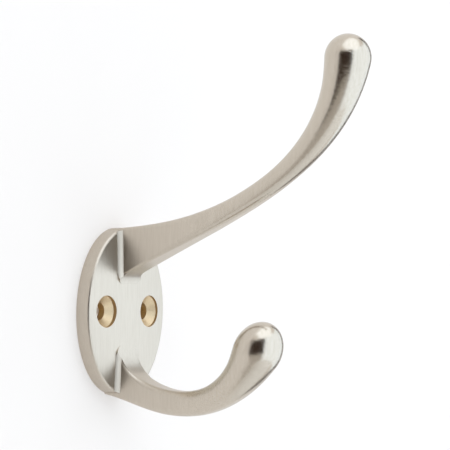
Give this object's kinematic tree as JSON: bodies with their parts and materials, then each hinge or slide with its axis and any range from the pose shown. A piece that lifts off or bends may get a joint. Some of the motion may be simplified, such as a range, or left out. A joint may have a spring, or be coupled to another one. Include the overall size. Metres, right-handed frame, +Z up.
{
  "type": "hat and coat hook",
  "caption": "Cast wall hook with a domed oval back plate, a long upswept hat arm and a shorter curled coat hook, both ending in round knobs, in satin nickel.",
  "frame": {"origin": "centre of the oval plate's back face, on the wall plane", "axes": "+Z up the wall, +Y into the wall, so the arms stand out toward -Y; +X is across the plate, and the casting is symmetric about X = 0"},
  "size_m": [0.034, 0.0776, 0.0994],
  "materials": {
    "satin_nickel": "satin nickel plate over cast brass, bare brass in the countersinks"
  },
  "bodies": {
    "root": {"hook": "satin_nickel"}
  },
  "joints": []
}
